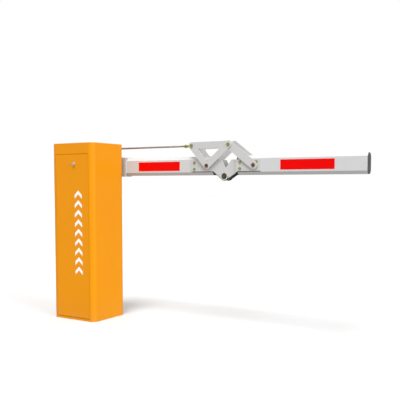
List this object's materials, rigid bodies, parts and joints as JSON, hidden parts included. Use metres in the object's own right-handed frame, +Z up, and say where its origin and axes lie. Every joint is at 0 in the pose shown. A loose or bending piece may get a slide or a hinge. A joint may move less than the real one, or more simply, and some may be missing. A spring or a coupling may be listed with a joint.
{
  "type": "folding arm barrier gate",
  "caption": "Roadside parking barrier: a floor-standing steel cabinet whose geared drive lifts an octagonal arm that folds flat at an elbow linkage.",
  "frame": {"origin": "centre of the four anchor holes at the underside of the base plate", "axes": "+Z up; +X along the closed arm away from the cabinet; +Y from the cabinet towards the arm, so the door faces -Y"},
  "size_m": [1.707, 0.364, 0.9825],
  "materials": {
    "orange_paint": "satin powder coat",
    "grey_paint": "satin light grey coat",
    "arm_aluminium": "white-grey coated extrusion",
    "bare_steel": "machined steel",
    "zinc": "yellow zinc plate",
    "copper_pin": "bronzed pin",
    "brass_pin": "brass",
    "chrome": "polished",
    "black_rubber": "matt",
    "black_plastic": "matt",
    "grey_plastic": "matt",
    "cast_grey": "painted casting",
    "red_film": "reflective film",
    "white_film": "printed film",
    "spring_steel": "oiled spring wire"
  },
  "bodies": {
    "cabinet": {"base_plate": "orange_paint", "cabinet_shell": "orange_paint", "top_lid": "orange_paint", "lid_screws": "bare_steel", "frame_posts": "grey_paint", "shaft_deck": "grey_paint", "gearbox_deck": "grey_paint", "cable_grommet": "black_rubber", "hinge_pins": "bare_steel", "bearings": "cast_grey", "bearing_bolts": "zinc", "shaft_seal": "black_rubber", "gearbox": "cast_grey", "motor": "cast_grey", "motor_cowl": "black_plastic", "stop_brackets": "grey_paint", "stop_pads": "black_rubber", "limit_switches": "black_plastic", "spring_anchor": "bare_steel", "balance_springs": "spring_steel", "back_plate": "zinc", "control_box": "grey_plastic", "terminal_strip": "grey_plastic", "tie_anchor": "orange_paint", "anchor_stud": "zinc"},
    "door": {"door": "orange_paint", "door_decal": "white_film", "lock_barrel": "chrome"},
    "lock": {"lock_plug": "chrome", "lock_cam": "zinc"},
    "gear_crank": {"output_crank": "bare_steel"},
    "drive_rod": {"connecting_rod": "bare_steel"},
    "arm_1": {"main_shaft": "bare_steel", "shaft_lever": "bare_steel", "lever_pins": "bare_steel", "limit_cam": "black_plastic", "shaft_flange": "bare_steel", "arm_holder": "grey_paint", "holder_cover": "grey_paint", "holder_bolts": "zinc", "arm_1_tube": "arm_aluminium", "arm_1_plug": "black_plastic", "red_strips_1": "red_film", "elbow_bracket_1": "grey_paint", "bracket_bolts_1": "zinc", "elbow_pin": "brass_pin", "crank_pivot_pin": "copper_pin"},
    "arm_2": {"arm_2_tube": "arm_aluminium", "arm_2_plug": "black_plastic", "arm_tip_cap": "black_plastic", "red_strips_2": "red_film", "elbow_bracket_2": "grey_paint", "bracket_bolts_2": "zinc"},
    "fold_crank": {"fold_crank": "grey_paint", "crank_pins": "zinc"},
    "fold_link": {"fold_link": "grey_paint", "link_studs": "copper_pin"},
    "tie_rod": {"tie_rod": "bare_steel", "rod_ends": "zinc"}
  },
  "joints": [
    {"name": "arm_lift", "type": "hinge", "parent": "cabinet", "child": "arm_1", "pos_m": [0, 0.18, 0.8525], "axis": [0, -1, 0], "range_deg": [0, 90], "deforming": ["balance_springs"]},
    {"name": "gear_crank_turn", "type": "hinge", "parent": "cabinet", "child": "gear_crank", "pos_m": [0, 0, 0.58], "axis": [0, -1, 0], "range_deg": [0, 90]},
    {"name": "drive_rod_turn", "type": "hinge", "parent": "gear_crank", "child": "drive_rod", "pos_m": [0.05657, 0, 0.52343], "axis": [0, -1, 0], "range_deg": [-90, 0]},
    {"name": "tie_rod_turn", "type": "hinge", "parent": "cabinet", "child": "tie_rod", "pos_m": [-0.094, 0.18, 0.9605], "axis": [0, -1, 0], "range_deg": [0, 90]},
    {"name": "fold_crank_turn", "type": "hinge", "parent": "arm_1", "child": "fold_crank", "pos_m": [0.698, 0.18, 0.8525], "axis": [0, -1, 0], "range_deg": [-90, 0]},
    {"name": "fold_link_turn", "type": "hinge", "parent": "fold_crank", "child": "fold_link", "pos_m": [0.828, 0.18, 0.9615], "axis": [0, -1, 0], "range_deg": [-59.37, 0]},
    {"name": "elbow_turn", "type": "hinge", "parent": "arm_1", "child": "arm_2", "pos_m": [0.79978, 0.18, 0.7977], "axis": [0, -1, 0], "range_deg": [-180, 0]},
    {"name": "door_tilt", "type": "hinge", "parent": "cabinet", "child": "door", "pos_m": [0, -0.128, 0.025], "axis": [1, 0, 0], "range_deg": [0, 75]},
    {"name": "lock_turn", "type": "hinge", "parent": "door", "child": "lock", "pos_m": [0.016, -0.135, 0.866], "axis": [0, -1, 0], "range_deg": [0, 90]}
  ],
  "couplings": [
    {"joint": "gear_crank_turn", "follows": "arm_lift", "ratio": 1},
    {"joint": "drive_rod_turn", "follows": "arm_lift", "ratio": -1},
    {"joint": "tie_rod_turn", "follows": "arm_lift", "ratio": 1},
    {"joint": "fold_crank_turn", "follows": "arm_lift", "ratio": -1},
    {"joint": "fold_link_turn", "follows": "arm_lift", "ratio": -0.65958},
    {"joint": "elbow_turn", "follows": "arm_lift", "ratio": -2}
  ]
}
